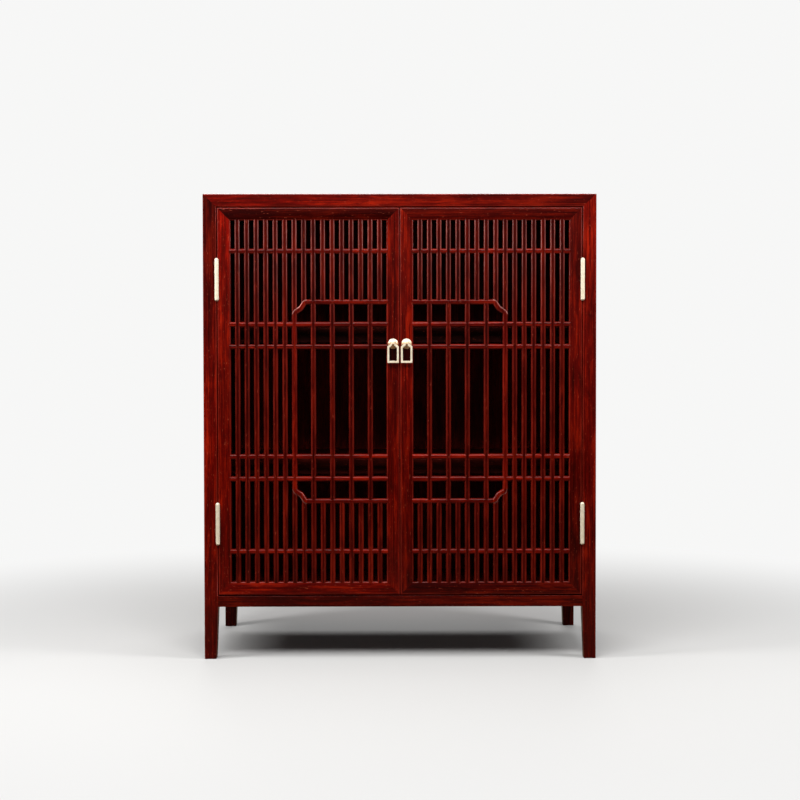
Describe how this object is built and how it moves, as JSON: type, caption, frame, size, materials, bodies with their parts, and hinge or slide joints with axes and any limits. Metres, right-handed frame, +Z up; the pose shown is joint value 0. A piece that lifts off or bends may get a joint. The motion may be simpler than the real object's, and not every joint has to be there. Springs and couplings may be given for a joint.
{
  "type": "two-door lattice sideboard",
  "caption": "Hardwood sideboard on tapered legs with inset lattice doors, barrel hinges and hanging ring pulls, with shelves behind the doors.",
  "frame": {"origin": "middle of the base of the bounding box, on the floor between the feet", "axes": "+Z up, the doors face -Y, +X to the right when one faces the doors"},
  "size_m": [0.8, 0.412, 0.948],
  "materials": {
    "lacquered_wood": "glossy red-brown lacquer over straight grain",
    "panel_wood": "satin red-brown lacquer over plain-sawn boards",
    "white_metal": "polished white brass"
  },
  "bodies": {
    "case": {"front_left_post": "lacquered_wood", "front_right_post": "lacquered_wood", "rear_left_post": "lacquered_wood", "rear_right_post": "lacquered_wood", "top_front_rail": "lacquered_wood", "top_rear_rail": "lacquered_wood", "top_left_rail": "lacquered_wood", "top_right_rail": "lacquered_wood", "top_panel": "panel_wood", "top_battens": "lacquered_wood", "bottom_front_rail": "lacquered_wood", "bottom_rear_rail": "lacquered_wood", "bottom_left_rail": "lacquered_wood", "bottom_right_rail": "lacquered_wood", "bottom_panel": "panel_wood", "bottom_battens": "lacquered_wood", "left_side_panel": "panel_wood", "right_side_panel": "panel_wood", "left_shelf_bearers": "lacquered_wood", "right_shelf_bearers": "lacquered_wood", "back_muntin": "lacquered_wood", "back_left_panel": "panel_wood", "back_right_panel": "panel_wood", "upper_shelf_rails": "lacquered_wood", "upper_shelf_cross_rails": "lacquered_wood", "upper_shelf_panel": "panel_wood", "lower_shelf_rails": "lacquered_wood", "lower_shelf_cross_rails": "lacquered_wood", "lower_shelf_panel": "panel_wood", "case_hinge_leaves": "white_metal", "hinge_pins": "white_metal", "case_hinge_screws": "white_metal"},
    "left_door": {"left_hinge_stile": "lacquered_wood", "left_meeting_stile": "lacquered_wood", "left_top_rail": "lacquered_wood", "left_bottom_rail": "lacquered_wood", "left_long_bars": "lacquered_wood", "left_short_bars": "lacquered_wood", "left_window_bars": "lacquered_wood", "left_cross_bars": "lacquered_wood", "left_window_frame": "lacquered_wood", "left_window_corners": "lacquered_wood", "left_hinge_leaves": "white_metal", "left_hinge_screws": "white_metal", "left_pull_boss": "white_metal"},
    "left_pull": {"left_pull_ring": "white_metal"},
    "right_door": {"right_hinge_stile": "lacquered_wood", "right_meeting_stile": "lacquered_wood", "right_top_rail": "lacquered_wood", "right_bottom_rail": "lacquered_wood", "right_long_bars": "lacquered_wood", "right_short_bars": "lacquered_wood", "right_window_bars": "lacquered_wood", "right_cross_bars": "lacquered_wood", "right_window_frame": "lacquered_wood", "right_window_corners": "lacquered_wood", "right_hinge_leaves": "white_metal", "right_hinge_screws": "white_metal", "right_pull_boss": "white_metal"},
    "right_pull": {"right_pull_ring": "white_metal"}
  },
  "joints": [
    {"name": "left_door_swing", "type": "hinge", "parent": "case", "child": "left_door", "pos_m": [-0.3714, -0.19845, 0.52575], "axis": [0, 0, -1], "range_deg": [0, 170]},
    {"name": "right_door_swing", "type": "hinge", "parent": "case", "child": "right_door", "pos_m": [0.3714, -0.19845, 0.52575], "axis": [0, 0, 1], "range_deg": [0, 170]},
    {"name": "left_pull_swing", "type": "hinge", "parent": "left_door", "child": "left_pull", "pos_m": [-0.01375, -0.20245, 0.64375], "axis": [-1, 0, 0], "range_deg": [-6, 160]},
    {"name": "right_pull_swing", "type": "hinge", "parent": "right_door", "child": "right_pull", "pos_m": [0.01375, -0.20245, 0.64375], "axis": [-1, 0, 0], "range_deg": [-6, 160]}
  ]
}
